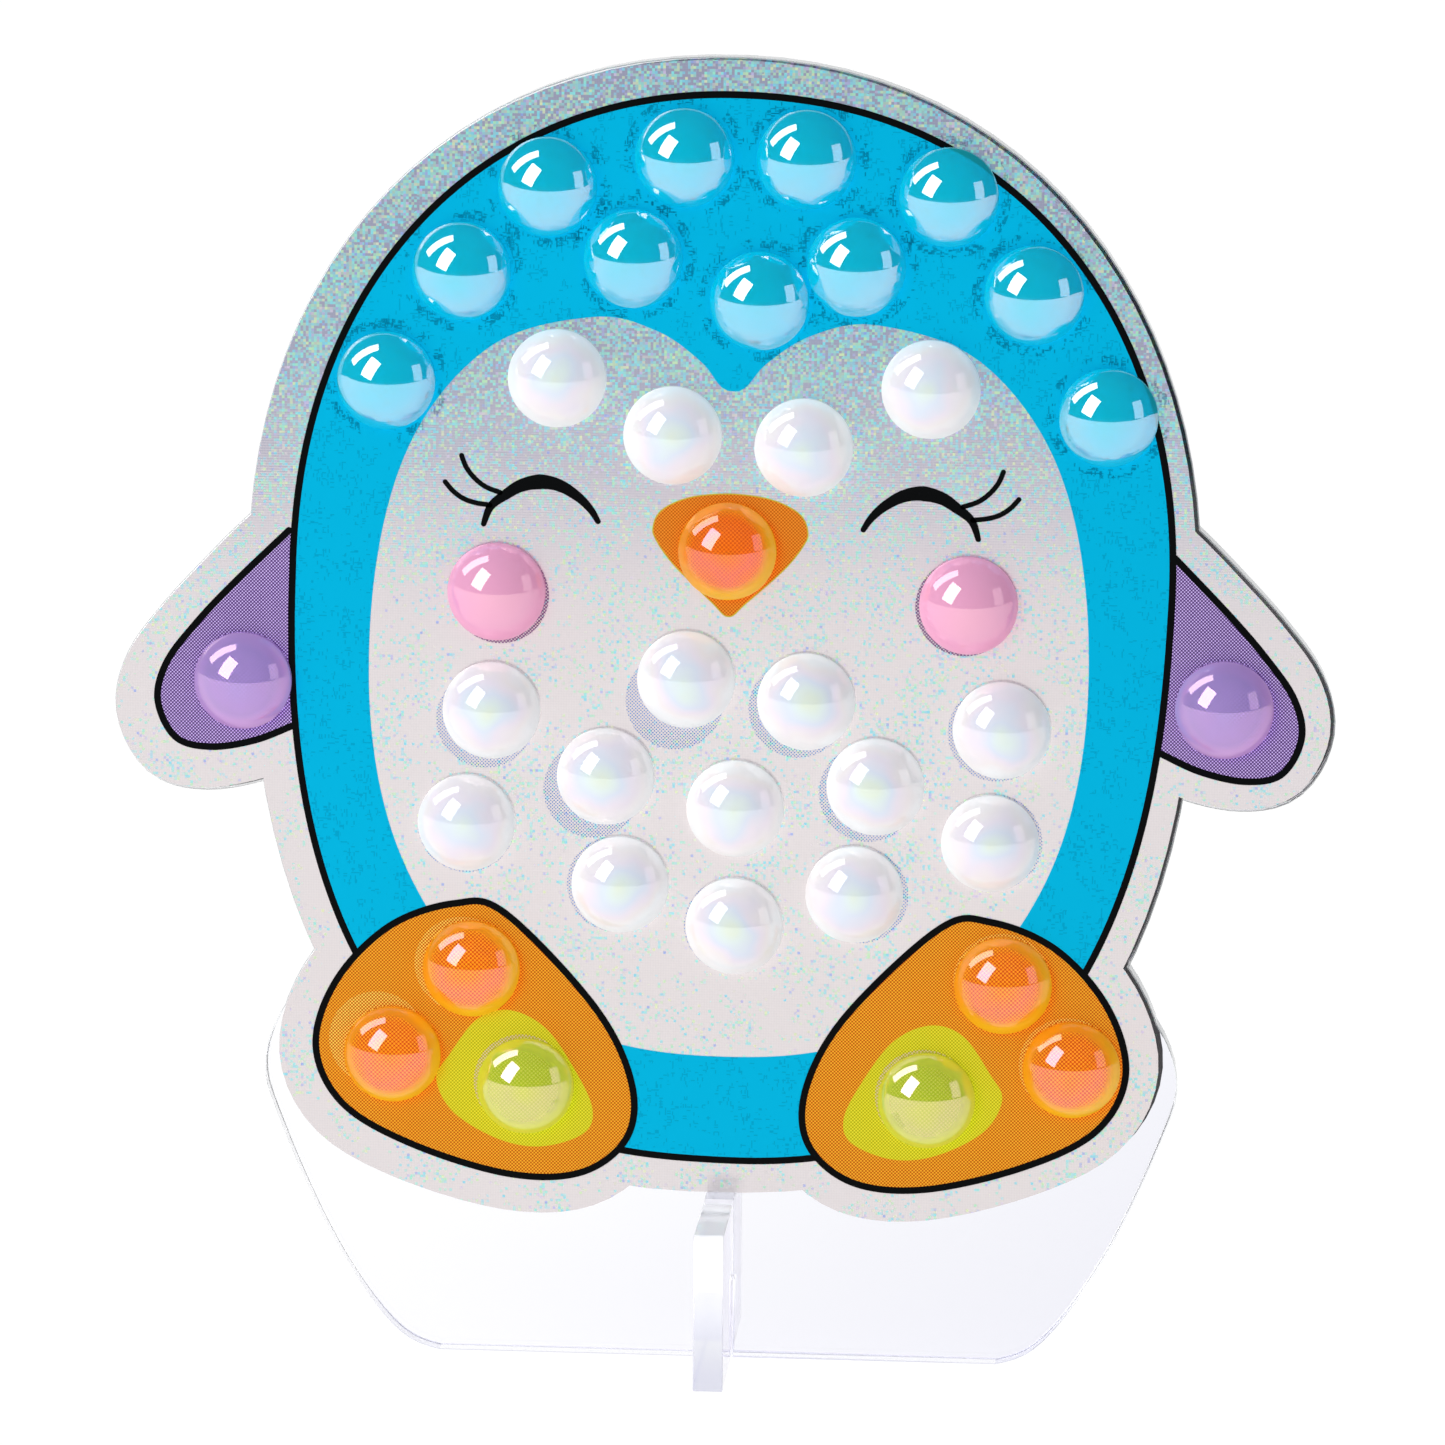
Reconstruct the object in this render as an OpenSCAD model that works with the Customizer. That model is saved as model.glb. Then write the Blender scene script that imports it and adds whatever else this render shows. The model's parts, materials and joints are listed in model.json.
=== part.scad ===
// Standing picture board: a clear sheet cut to the outline of a cartoon bird
// above a rounded clear base, with a film and domed gems stuck on its front.
// The board stands in a clear cross foot, joined to it by a half-lap slot.
// +X is to the right, the picture faces -Y and +Z is up. Millimetres.

/* [Clear sheet] */
// Thickness of the sheet that the board and the foot are cut from
sheet = 3; // [2:0.1:5]
// How far the board stands out past the film on it
margin = 0.3; // [0:0.05:0.6]

/* [Body outline] */
// Half of the body's width
body_half = 43.8; // [42:0.1:46]
// Height of the body's widest point above the table
body_mid = 79.5; // [78:0.1:81]
// From the widest point up to the top of the head
body_up = 48.7; // [47:0.1:50]
// From the widest point down to the bottom of the body
body_down = 58.8; // [57:0.1:60]
// Squareness of the head, above the widest point, where 2 is an ellipse
head_power = 2.14; // [2:0.02:2.6]
// Squareness of the lower body
belly_power = 2.46; // [2:0.02:2.6]

/* [Film] */
// Thickness of each film
film = 0.2; // [0.1:0.05:0.4]
// Plain border around the body
body_border = 3.4; // [2:0.1:4]
// Plain border around the wings and feet
limb_border = 3.5; // [3:0.1:4.5]
// How far off centre the front film is stuck on, towards the left
front_shift = 0.2; // [0:0.05:0.25]
// How far off centre the back film is stuck on, towards the right
back_shift = 0.25; // [0:0.05:0.25]

/* [Cross foot] */
// Length of the foot, from front to back
foot_long = 28; // [24:1:44]
// Height of the foot
foot_high = 16; // [14:0.5:16.5]
// Radius of the foot's two top corners
foot_corner = 0.5; // [0.3:0.1:5]
// Gap on each side of a sheet in its slot
slot_gap = 0.1; // [0.05:0.01:0.2]

/* [Gems] */
// Diameter of a gem
gem_d = 9.8; // [8:0.1:10]
// Height of a gem above its flat back
gem_high = 3.2; // [2.4:0.1:5]
// Height of the straight wall at a gem's edge
gem_wall = 0.6; // [0.2:0.1:1]
// Diameter of the glue under a gem
glue_d = 9; // [6:0.1:9.4]
// Thickness of the glue under a gem
glue = 0.2; // [0.1:0.05:0.4]

/* [Hidden] */
// Each gem's place on the front of the board: to the right, and up
head_gems = [
  [-17.5, 119], [-4, 122], [8, 122], [22, 118.5], [-26, 110.5], [-9, 112],
  [3.5, 108], [13, 111.5], [30.5, 109], [-33.5, 99.5], [38, 97]
];
face_gems = [[-16.5, 100], [20.5, 99.5], [-5, 94.5], [8, 93.5]];
belly_gems = [
  [-3.5, 70], [8.5, 68], [-23, 66.5], [28, 65.5], [-11.5, 60], [15.5, 59.5],
  [1.5, 57], [-25.5, 55], [27, 54], [-10, 49], [13.5, 48.5], [1.5, 45]
];
cheek_gems = [[-22.5, 78.5], [24.5, 78]];
beak_gems = [[0.5, 83]];
wing_gems = [[-48, 69], [50, 68]];
foot_gems = [[-25, 40], [-33, 31], [28.5, 39.5], [35.5, 31]];
toe_gems = [[-19.5, 28], [21, 27.5]];
all_gems = concat(head_gems, face_gems, belly_gems, cheek_gems, beak_gems,
                  wing_gems, foot_gems, toe_gems);

function names(stem, places) = [for (i = [1 : len(places)]) str(stem, "_", i)];
head_names = names("head_gem", head_gems);
face_names = names("face_gem", face_gems);
belly_names = names("belly_gem", belly_gems);
cheek_names = names("cheek_gem", cheek_gems);
beak_names = names("beak_gem", beak_gems);
wing_names = names("wing_gem", wing_gems);
foot_names = names("foot_gem", foot_gems);
toe_names = names("toe_gem", toe_gems);

// Points that the outlines pass through, for the right-hand half of the board,
// listed anticlockwise. The wing's two ends lie inside the body.
wing_points = [
  [34, 67.5], [43.4, 63.9], [47.4, 62.2], [51.9, 61.4], [55.4, 62.3], [57.2, 66],
  [56.3, 69.9], [53.4, 73.9], [49.7, 78], [44.1, 83.6], [34, 92.5]
];
foot_points = [
  [8.9, 28.7], [9.1, 22.8], [13.6, 18.9], [21, 18.4], [30.9, 21.1], [38.1, 25.1],
  [40.9, 31], [38.9, 37.8], [33.6, 43.6], [27, 46.2], [21.9, 45.4], [12.8, 36.2]
];
// One side of the clear base. The first and last points only steer the curve.
base_points = [
  [22, 0], [28.3, 0], [33.2, 2.6], [39, 11], [44.3, 22.8], [46.1, 30], [43, 37], [36, 42]
];

steps = 5;              // straight pieces between two points of an outline
body_sides = 96;
slack = 1;              // how far a cutting shape reaches past what it cuts
gem_r = gem_d / 2;
dome_high = gem_high - gem_wall;
dome_r = (gem_r * gem_r + dome_high * dome_high) / (2 * dome_high);
film_back = sheet / 2;                 // from the board's middle to a film's back
film_face = film_back + film;
gem_back = film_face + glue;
lap = foot_high / 2;                   // depth of the slot in each sheet
slot = sheet + 2 * slot_gap;

// A smooth curve through four points, from b to c, at t from 0 to 1
function between(a, b, c, d, t) =
  (2 * b + (c - a) * t + (2 * a - 5 * b + 4 * c - d) * t * t
    + (3 * b - a - 3 * c + d) * t * t * t) / 2;

// The curve from the second point to the last but one
function curve(p) = [
  for (i = [1 : len(p) - 3], k = [0 : steps - 1])
    between(p[i - 1], p[i], p[i + 1], p[i + 2], k / steps)
];

// The same curve closed into a ring through every point
function ring(p) = curve(concat([p[len(p) - 1]], p, [p[0], p[1]]));

// An anticlockwise outline with each point moved outwards by d
function grown(p, d) = [
  for (i = [0 : len(p) - 1])
    let (n = len(p), run = p[(i + 1) % n] - p[(i + n - 1) % n])
      p[i] + d * [run.y, -run.x] / norm(run)
];

function mirrored(p) = [for (i = [len(p) - 1 : -1 : 0]) [-p[i].x, p[i].y]];

// One of a superellipse's two coordinates, from -1 to 1
function squared(v, power) = sign(v) * pow(abs(v), 2 / power);

function body_outline() = [
  for (i = [0 : body_sides - 1])
    let (
      a = 360 * (i + 0.5) / body_sides,
      rise = sin(a) > 0 ? body_up : body_down,
      power = sin(a) > 0 ? head_power : belly_power
    )
      [body_half * squared(cos(a), power), body_mid + rise * squared(sin(a), power)]
];

// The bird's outline with a border of each width around it
module bird(extra) {
  polygon(grown(body_outline(), body_border + extra));
  for (points = [wing_points, foot_points]) {
    edge = grown(ring(points), limb_border + extra);
    polygon(edge);
    polygon(mirrored(edge));
  }
}

module base() {
  side = curve(base_points);
  polygon(concat(side, mirrored(side)));
}

// Stands a flat shape up, with its front at y and its thickness behind that
module upright(y, thick) {
  translate([0, y + thick, 0])
    rotate([90, 0, 0])
      linear_extrude(thick)
        children();
}

module clear_board() {
  color([0.92, 0.95, 1, 0.35])
    difference() {
      upright(-sheet / 2, sheet) {
        bird(margin);
        base();
      }
      translate([-slot / 2, -sheet, -slack])
        cube([slot, 2 * sheet, slack + lap + slot_gap]);
    }
}

module foot_side() {
  half = foot_long / 2;
  inner = half - foot_corner;
  translate([-half, 0])
    square([foot_long, foot_high - foot_corner]);
  translate([-inner, 0])
    square([2 * inner, foot_high]);
  for (s = [-1, 1])
    translate([s * inner, foot_high - foot_corner])
      circle(r = foot_corner, $fn = 64);
}

module cross_foot() {
  color([0.92, 0.95, 1, 0.35])
    difference() {
      rotate([90, 0, 90])
        linear_extrude(sheet, center = true)
          foot_side();
      translate([-sheet, -slot / 2, lap])
        cube([2 * sheet, slot, lap + slack]);
    }
}

module front_sticker() {
  color([0.8, 0.78, 0.82])
    translate([-front_shift, 0, 0])
      upright(-film_face, film)
        bird(0);
}

module back_sticker() {
  color([0.6, 0.6, 0.65])
    translate([back_shift, 0, 0])
      upright(film_back, film)
        bird(0);
}

module gem_glue_dots() {
  color([0.95, 0.95, 0.9])
    for (place = all_gems)
      translate([place.x, -film_face, place.y])
        rotate([90, 0, 0])
          cylinder(h = glue, d = glue_d, $fn = 64);
}

// A dome: a short straight wall with a cap of a sphere on it
module gem(place) {
  translate([place.x, -gem_back, place.y])
    rotate([90, 0, 0]) {
      cylinder(h = gem_wall, r = gem_r, $fn = 64);
      intersection() {
        translate([0, 0, gem_high - dome_r])
          sphere(r = dome_r, $fn = 64);
        translate([0, 0, gem_wall / 2])
          cylinder(h = gem_high, r = gem_r, $fn = 64);
      }
    }
}

module head_gem(place) {
  color([0, 0.7, 0.9]) gem(place);
}

module face_gem(place) {
  color([0.93, 0.95, 0.96]) gem(place);
}

module belly_gem(place) {
  color([0.93, 0.95, 0.96]) gem(place);
}

module cheek_gem(place) {
  color([0.95, 0.45, 0.6]) gem(place);
}

module beak_gem(place) {
  color([1, 0.5, 0.1]) gem(place);
}

module wing_gem(place) {
  color([0.6, 0.45, 0.8]) gem(place);
}

module foot_gem(place) {
  color([1, 0.5, 0.1]) gem(place);
}

module toe_gem(place) {
  color([0.7, 0.9, 0.15]) gem(place);
}

cross_foot();
clear_board();
front_sticker();
back_sticker();
gem_glue_dots();
for (i = [0 : len(head_gems) - 1])
  head_gem(head_gems[i]);
for (i = [0 : len(face_gems) - 1])
  face_gem(face_gems[i]);
for (i = [0 : len(belly_gems) - 1])
  belly_gem(belly_gems[i]);
for (i = [0 : len(cheek_gems) - 1])
  cheek_gem(cheek_gems[i]);
for (i = [0 : len(beak_gems) - 1])
  beak_gem(beak_gems[i]);
for (i = [0 : len(wing_gems) - 1])
  wing_gem(wing_gems[i]);
for (i = [0 : len(foot_gems) - 1])
  foot_gem(foot_gems[i]);
for (i = [0 : len(toe_gems) - 1])
  toe_gem(toe_gems[i]);
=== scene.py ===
"""A free-standing picture board with domed gems, laid out as a Blender add-on.

The clear sheet, the printed film, the gems and the stage each have an operator. Sizes on
the board are in millimetres, measured to the right of its middle and up from the table;
everything handed to Blender is in metres.
"""

import json
import math
from typing import NamedTuple

import bpy
import numpy as np
from bpy.props import FloatProperty, FloatVectorProperty, PointerProperty
from mathutils import Matrix, Vector


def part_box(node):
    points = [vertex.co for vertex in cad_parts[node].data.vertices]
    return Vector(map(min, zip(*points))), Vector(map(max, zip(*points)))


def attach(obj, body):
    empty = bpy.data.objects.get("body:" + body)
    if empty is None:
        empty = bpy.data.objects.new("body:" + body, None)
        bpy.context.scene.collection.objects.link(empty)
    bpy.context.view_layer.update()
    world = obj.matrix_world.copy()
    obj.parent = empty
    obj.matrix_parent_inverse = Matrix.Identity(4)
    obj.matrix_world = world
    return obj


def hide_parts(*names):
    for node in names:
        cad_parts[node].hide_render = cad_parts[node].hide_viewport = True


bl_info = {
    "name": "Gem art desk stand",
    "version": (1, 0, 0),
    "blender": (4, 5, 0),
    "location": "View3D > Sidebar > Gem Stand",
    "description": "Builds a clear bird-shaped stand with a printed glitter film and domed gems",
    "category": "Add Mesh",
}

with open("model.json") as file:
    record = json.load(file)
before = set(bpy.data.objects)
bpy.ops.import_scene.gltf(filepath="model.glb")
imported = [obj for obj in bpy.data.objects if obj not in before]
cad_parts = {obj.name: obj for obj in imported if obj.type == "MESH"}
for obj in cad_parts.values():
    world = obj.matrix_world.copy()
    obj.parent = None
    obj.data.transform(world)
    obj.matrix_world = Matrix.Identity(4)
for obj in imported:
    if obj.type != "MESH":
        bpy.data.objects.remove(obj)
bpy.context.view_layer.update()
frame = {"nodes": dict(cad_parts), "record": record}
MM = 0.001
BOARD = "board"

# The film's front face, which the inks lie on, from the CAD model.
FILM_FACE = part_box("front_sticker")[0].y / MM
SLOT_OF = {part["node"]: part["material_slot"] for part in frame["record"]["subparts"]}
GEM_NODES = [node for node, slot in SLOT_OF.items() if slot.endswith("_gem")]


def box_mm(node):
    """The two extreme corners of a CAD node, in millimetres."""
    return [np.array(corner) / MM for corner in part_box(node)]


def middle_of(node):
    """Where the middle of a gem lies on the board."""
    low, high = box_mm(node)
    return (low + high)[[0, 2]] / 2


def linear(red, green, blue):
    """The linear colour of three display values from 0 to 255."""
    values = np.array([red, green, blue]) / 255
    low, high = values / 12.92, ((values + 0.055) / 1.055) ** 2.4
    return tuple(float(v) for v in np.where(values <= 0.04045, low, high))


# ---------------------------------------------------------------- settings


class StandPrintSettings(bpy.types.PropertyGroup):
    """How the picture is printed on the film."""

    turn: FloatProperty(
        name="Turn", description="How far the picture is turned clockwise on the board",
        default=math.radians(0.75), subtype="ANGLE",
    )
    shift: FloatProperty(
        name="Shift", description="How far the picture is off centre, to the right",
        default=0.5 * MM, unit="LENGTH",
    )
    line: FloatProperty(
        name="Line", description="Width of the black lines round the body, wings and feet",
        default=0.69 * MM, unit="LENGTH",
    )
    dot_pitch: FloatProperty(
        name="Dot pitch", description="Spacing of the printed halftone dots",
        default=0.245 * MM, unit="LENGTH",
    )
    glitter_pitch: FloatProperty(
        name="Glitter pitch", description="Spacing of the film's glitter cells",
        default=0.27 * MM, unit="LENGTH",
    )


class StandColourSettings(bpy.types.PropertyGroup):
    """The colours of the inks and gems."""

    body: FloatVectorProperty(
        name="Body", description="Ink of the body",
        default=linear(0, 177, 218), subtype="COLOR", min=0, max=1,
    )
    wing: FloatVectorProperty(
        name="Wing", description="Ink of the wings",
        default=linear(86, 56, 118), subtype="COLOR", min=0, max=1,
    )
    foot: FloatVectorProperty(
        name="Foot", description="Ink of the feet",
        default=linear(189, 75, 2), subtype="COLOR", min=0, max=1,
    )
    toe: FloatVectorProperty(
        name="Toe", description="Ink of the spots on the feet",
        default=linear(178, 171, 9), subtype="COLOR", min=0, max=1,
    )
    beak: FloatVectorProperty(
        name="Beak", description="Ink of the beak",
        default=linear(194, 86, 2), subtype="COLOR", min=0, max=1,
    )
    line: FloatVectorProperty(
        name="Line", description="Ink of the outlines and eyes",
        default=linear(10, 11, 12), subtype="COLOR", min=0, max=1,
    )
    film: FloatVectorProperty(
        name="Film", description="The silver film between its glitter",
        default=linear(232, 224, 220), subtype="COLOR", min=0, max=1,
    )


class StandStageSettings(bpy.types.PropertyGroup):
    """The camera and the studio."""

    azimuth: FloatProperty(
        name="Azimuth", description="How far the camera stands to the right of the front",
        default=math.radians(4.0), subtype="ANGLE",
    )
    elevation: FloatProperty(
        name="Elevation", description="How far the camera looks down",
        default=math.radians(10.5), subtype="ANGLE",
    )
    roll: FloatProperty(
        name="Roll", description="How far the camera is rolled anticlockwise",
        default=math.radians(0.45), subtype="ANGLE",
    )
    distance: FloatProperty(
        name="Distance", description="From the camera to the middle of the board",
        default=0.65, unit="LENGTH",
    )
    aim_height: FloatProperty(
        name="Aim height", description="Height of the point that the camera looks at",
        default=65.3 * MM, unit="LENGTH",
    )
    lens: FloatProperty(
        name="Lens", description="Focal length in millimetres on a 36 mm wide sensor",
        default=161.9, min=20,
    )
    room: FloatVectorProperty(
        name="Room", description="Light from the dim room in front of the board",
        default=(0.02, 0.06, 0.09), subtype="COLOR", min=0, max=1,
    )
    table: FloatProperty(
        name="Table", description="How far the white table reaches in front of the board",
        default=0.63, unit="LENGTH",
    )


def settings():
    """The three groups of settings, as the scene holds them."""
    scene = bpy.context.scene
    return scene.stand_print, scene.stand_colours, scene.stand_stage


# ---------------------------------------------------------------- outlines

# Points that the printed outlines pass through, for the right-hand half, anticlockwise.
WING = [
    (38, 66), (43.4, 63.9), (47.4, 62.2), (51.9, 61.4), (55.4, 62.3), (57.2, 66),
    (56.3, 69.9), (53.4, 73.9), (49.7, 78), (44.1, 83.6), (38.7, 89.1),
]
FOOT = [
    (8.9, 28.7), (9.1, 22.8), (13.6, 18.9), (21, 18.4), (30.9, 21.1), (38.1, 25.1),
    (40.9, 31), (38.9, 37.8), (33.6, 43.6), (27, 46.2), (21.9, 45.4), (12.8, 36.2),
]
TOE = [
    (12.7, 25.4), (13.6, 22.9), (17.8, 21.4), (22.2, 22), (26.8, 24.6), (28.6, 28),
    (27.3, 30.6), (24.5, 34.4), (21.2, 35.4), (17.5, 33.6), (14.4, 29.2),
]
# Half of the silver face and front, from the bottom up to the notch above the beak.
FACE = [
    (0, 31.4), (10.9, 32.5), (22.5, 36.9), (31.5, 48.8), (35.5, 62.8), (35.4, 79.8),
    (31.7, 93.5), (24, 102.8), (14, 105.9), (7.7, 104.7), (3.3, 101.8), (1.3, 99.4),
]
NOTCH = (0, 98.9)  # its lowest point
BEAK = [
    (0, 76.4), (1.7, 77.8), (5.5, 81.4), (7.4, 84), (7.6, 85.3), (7, 86.6), (5.5, 87.6),
    (3.3, 88.3), (0, 88.6),
]
# The right eye, from its inner end, and its two lashes, from the eye outwards.
EYE = [
    (13.2, 85.5), (13.9, 86.6), (15.1, 87.8), (16.9, 88.9), (18.8, 89.3), (20.8, 88.9),
    (22.3, 88), (23.9, 86.7), (24.6, 84.9),
]
UPPER_LASH = [(23, 88.1), (24.4, 88.6), (25.5, 89.4), (26.4, 90.5), (26.9, 91.7)]
LOWER_LASH = [(24, 86.8), (25.5, 87), (26.7, 87.4), (27.7, 88.1), (28.5, 89)]
EYE_WIDTHS = (0.55, 1.5, 0.55)  # at the eye's two ends and its middle
LASH_WIDTH = 0.5

# The body's half width, its widest height, how far it reaches up and down from there, the
# squareness of those two halves, how far it leans clockwise, and how far left it sits.
BODY_HALF, BODY_MID, BODY_UP, BODY_DOWN = 43.8, 79.6, 48.6, 58.9
HEAD_POWER, BELLY_POWER, BODY_LEAN, BODY_LEFT = 2.15, 2.46, math.radians(1.42), 0.22


RING_POINTS = 420  # points round the body and the face


def catmull(points, steps=12):
    """A smooth curve through the points: on each span the cubic whose slope at a point is
    half the step between that point's two neighbours. The end points only steer it."""
    p = np.asarray(points, float)
    t = np.linspace(0, 1, steps, endpoint=False)[None, :, None]
    a, b, c, d = (p[i : len(p) - 3 + i, None] for i in range(4))
    curve = (2 * b + (c - a) * t + (2 * a - 5 * b + 4 * c - d) * t**2
             + (3 * b - a - 3 * c + d) * t**3) / 2
    return np.vstack([curve.reshape(-1, 2), p[-2]])


def closed_curve(points):
    """The curve through the points and back to the first, without repeating it."""
    return catmull([points[-1], *points, points[0], points[1]])[:-1]


def open_curve(points):
    """The curve from the first point to the last."""
    return catmull([points[0], *points, points[-1]])


def unit_circle(count):
    """Points at equal angles round a circle of radius 1, anticlockwise."""
    around = 2 * math.pi * np.arange(count) / count
    return np.stack([np.cos(around), np.sin(around)], axis=1)


def flipped(points):
    """The outline's mirror image, still anticlockwise."""
    return [(-x, z) for x, z in reversed(points)]


def resampled(outline, count):
    """The closed outline at equal distances along it."""
    loop = np.vstack([outline, outline[:1]])
    along = np.concatenate([[0], np.cumsum(np.linalg.norm(np.diff(loop, axis=0), axis=1))])
    at = np.linspace(0, along[-1], count, endpoint=False)
    return np.stack([np.interp(at, along, loop[:, axis]) for axis in (0, 1)], axis=1)


def normals(outline, closed=True):
    """The unit normal at each point, to the right of the way the outline runs."""
    if closed:
        run = np.roll(outline, -1, axis=0) - np.roll(outline, 1, axis=0)
    else:
        run = np.gradient(outline, axis=0)
    run = run / np.linalg.norm(run, axis=1, keepdims=True)
    return np.stack([run[:, 1], -run[:, 0]], axis=1)


def grown(outline, distance):
    """The anticlockwise outline, moved outwards by the distance."""
    return outline + distance * normals(outline)


def turned(outline, angle):
    """The outline turned clockwise about the film's middle."""
    middle = np.array([0, 66.0])
    cos, sin = math.cos(angle), math.sin(angle)
    return (outline - middle) @ np.array([[cos, -sin], [sin, cos]]) + middle


def body_outline(count=360):
    """A superellipse: at the angle a, x is the half width times cos a to the power 2 / n,
    and z the same with sin a, where n and the height are those of the half it is in. It
    starts at the bottom and leans a little."""
    a = -math.pi / 2 + 2 * math.pi * np.arange(count) / count
    across, rise = np.cos(a), np.sin(a)
    power = np.where(rise > 0, 2 / HEAD_POWER, 2 / BELLY_POWER)
    tall = np.where(rise > 0, BODY_UP, BODY_DOWN)
    x = BODY_HALF * np.sign(across) * np.abs(across) ** power
    z = BODY_MID + tall * np.sign(rise) * np.abs(rise) ** power
    return turned(np.stack([x, z], axis=1), BODY_LEAN) - [BODY_LEFT, 0]


def printed(outline):
    """The outline where it is printed: turned and shifted to the right, as the film was
    stuck on."""
    scene_print = settings()[0]
    return turned(outline, scene_print.turn) + [scene_print.shift / MM, 0]


# ---------------------------------------------------------------- meshes


def add_piece(name, points, faces, material, replaces=(), smooth=False, body=BOARD):
    """A mesh object at the origin from points in millimetres, riding on a body."""
    mesh = bpy.data.meshes.new(name)
    mesh.from_pydata((np.asarray(points) * MM).tolist(), [], faces)
    mesh.validate()
    mesh.shade_smooth() if smooth else mesh.shade_flat()
    mesh.materials.append(material)
    piece = bpy.data.objects.new(name, mesh)
    bpy.context.scene.collection.objects.link(piece)
    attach(piece, body)
    if replaces:
        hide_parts(*replaces)
    return piece


def standing(outline, y):
    """The flat outline stood up in the board's plane at the depth y."""
    return np.insert(outline, 1, y, axis=1)


def grid_faces(rows, columns, wrap_rows, wrap_columns):
    """Quads that join a grid of points, row by row, and round its ends where it wraps."""
    r = np.arange(rows if wrap_rows else rows - 1)
    c = np.arange(columns if wrap_columns else columns - 1)
    r, c = (m.ravel() for m in np.meshgrid(r, c, indexing="ij"))
    r_next, c_next = (r + 1) % rows, (c + 1) % columns
    corners = [r * columns + c, r * columns + c_next,
               r_next * columns + c_next, r_next * columns + c]
    return np.stack(corners, axis=1).tolist()


def plate(outline, back, front):
    """A flat closed plate: the anticlockwise outline at two depths, joined by a wall."""
    count = len(outline)
    points = np.vstack([standing(outline, front), standing(outline, back)])
    walls = [face[::-1] for face in grid_faces(2, count, False, True)]
    caps = [list(range(count)), list(range(2 * count - 1, count - 1, -1))]
    return points, walls + caps


def band(outer, inner, back, front):
    """A flat closed ring between two outlines with the same number of points: a
    rectangle's four corners carried round them."""
    rows = [standing(outer, back), standing(outer, front),
            standing(inner, front), standing(inner, back)]
    points = np.stack(rows, axis=1).reshape(-1, 3)
    return points, [face[::-1] for face in grid_faces(len(outer), 4, True, True)]


def stroke(path, widths, back, front):
    """A flat closed ribbon along an open path with round ends: a rectangle's corners
    carried along it, whose width near an end follows a circle."""
    steps = np.concatenate([[0], np.cumsum(np.linalg.norm(np.diff(path, axis=0), axis=1))])
    half = np.interp(steps, np.linspace(0, steps[-1], len(widths)), np.asarray(widths) / 2)
    ends = []
    for tip, beside, radius in ((path[0], path[1], half[0]), (path[-1], path[-2], half[-1])):
        out = (tip - beside) / np.linalg.norm(tip - beside)
        angle = np.linspace(0, math.pi / 2, 9)[1:]
        ends.append((tip + radius * np.sin(angle)[:, None] * out,
                     np.maximum(radius * np.cos(angle), 1e-3)))
    line = np.vstack([ends[0][0][::-1], path, ends[1][0]])
    half = np.concatenate([ends[0][1][::-1], half, ends[1][1]])[:, None]
    side = normals(line, closed=False)
    rows = [standing(line + half * side, back), standing(line + half * side, front),
            standing(line - half * side, front), standing(line - half * side, back)]
    points = np.stack(rows, axis=1).reshape(-1, 3)
    last = len(points) - 4
    caps = [[0, 1, 2, 3], [last + 3, last + 2, last + 1, last]]
    return points, [face[::-1] for face in grid_faces(len(line), 4, False, True)] + caps


def joined(parts):
    """Several (points, faces) pairs as one."""
    points, faces, start = [], [], 0
    for part_points, part_faces in parts:
        points.append(part_points)
        faces += [[corner + start for corner in face] for face in part_faces]
        start += len(part_points)
    return np.vstack(points), faces


# ---------------------------------------------------------------- materials


class Value:
    """A shader socket that arithmetic can be written with. Each operation adds a node."""

    def __init__(self, build, socket):
        self.build = build
        self.socket = socket

    def _math(self, operation, *inputs):
        node = self.build.node("ShaderNodeMath", {"operation": operation},
                               dict(enumerate(inputs)))
        return Value(self.build, node.outputs[0])

    def __add__(self, other):
        return self._math("ADD", self, other)

    __radd__ = __add__

    def __mul__(self, other):
        return self._math("MULTIPLY", self, other)

    __rmul__ = __mul__

    def __sub__(self, other):
        return self._math("SUBTRACT", self, other)

    def __rsub__(self, other):
        return self._math("SUBTRACT", other, self)

    def __truediv__(self, other):
        return self._math("DIVIDE", self, other)

    def __rtruediv__(self, other):
        return self._math("DIVIDE", other, self)

    def __gt__(self, other):
        return self._math("GREATER_THAN", self, other)

    def __lt__(self, other):
        return self._math("LESS_THAN", self, other)

    def sine(self):
        return self._math("SINE", self)

    def smooth(self, low, high):
        """0 below low, 1 above high, and a smooth step between them."""
        node = self.build.node(
            "ShaderNodeMapRange", {"interpolation_type": "SMOOTHSTEP"},
            {"Value": self, "From Min": low, "From Max": high},
        )
        return Value(self.build, node.outputs[0])


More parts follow.
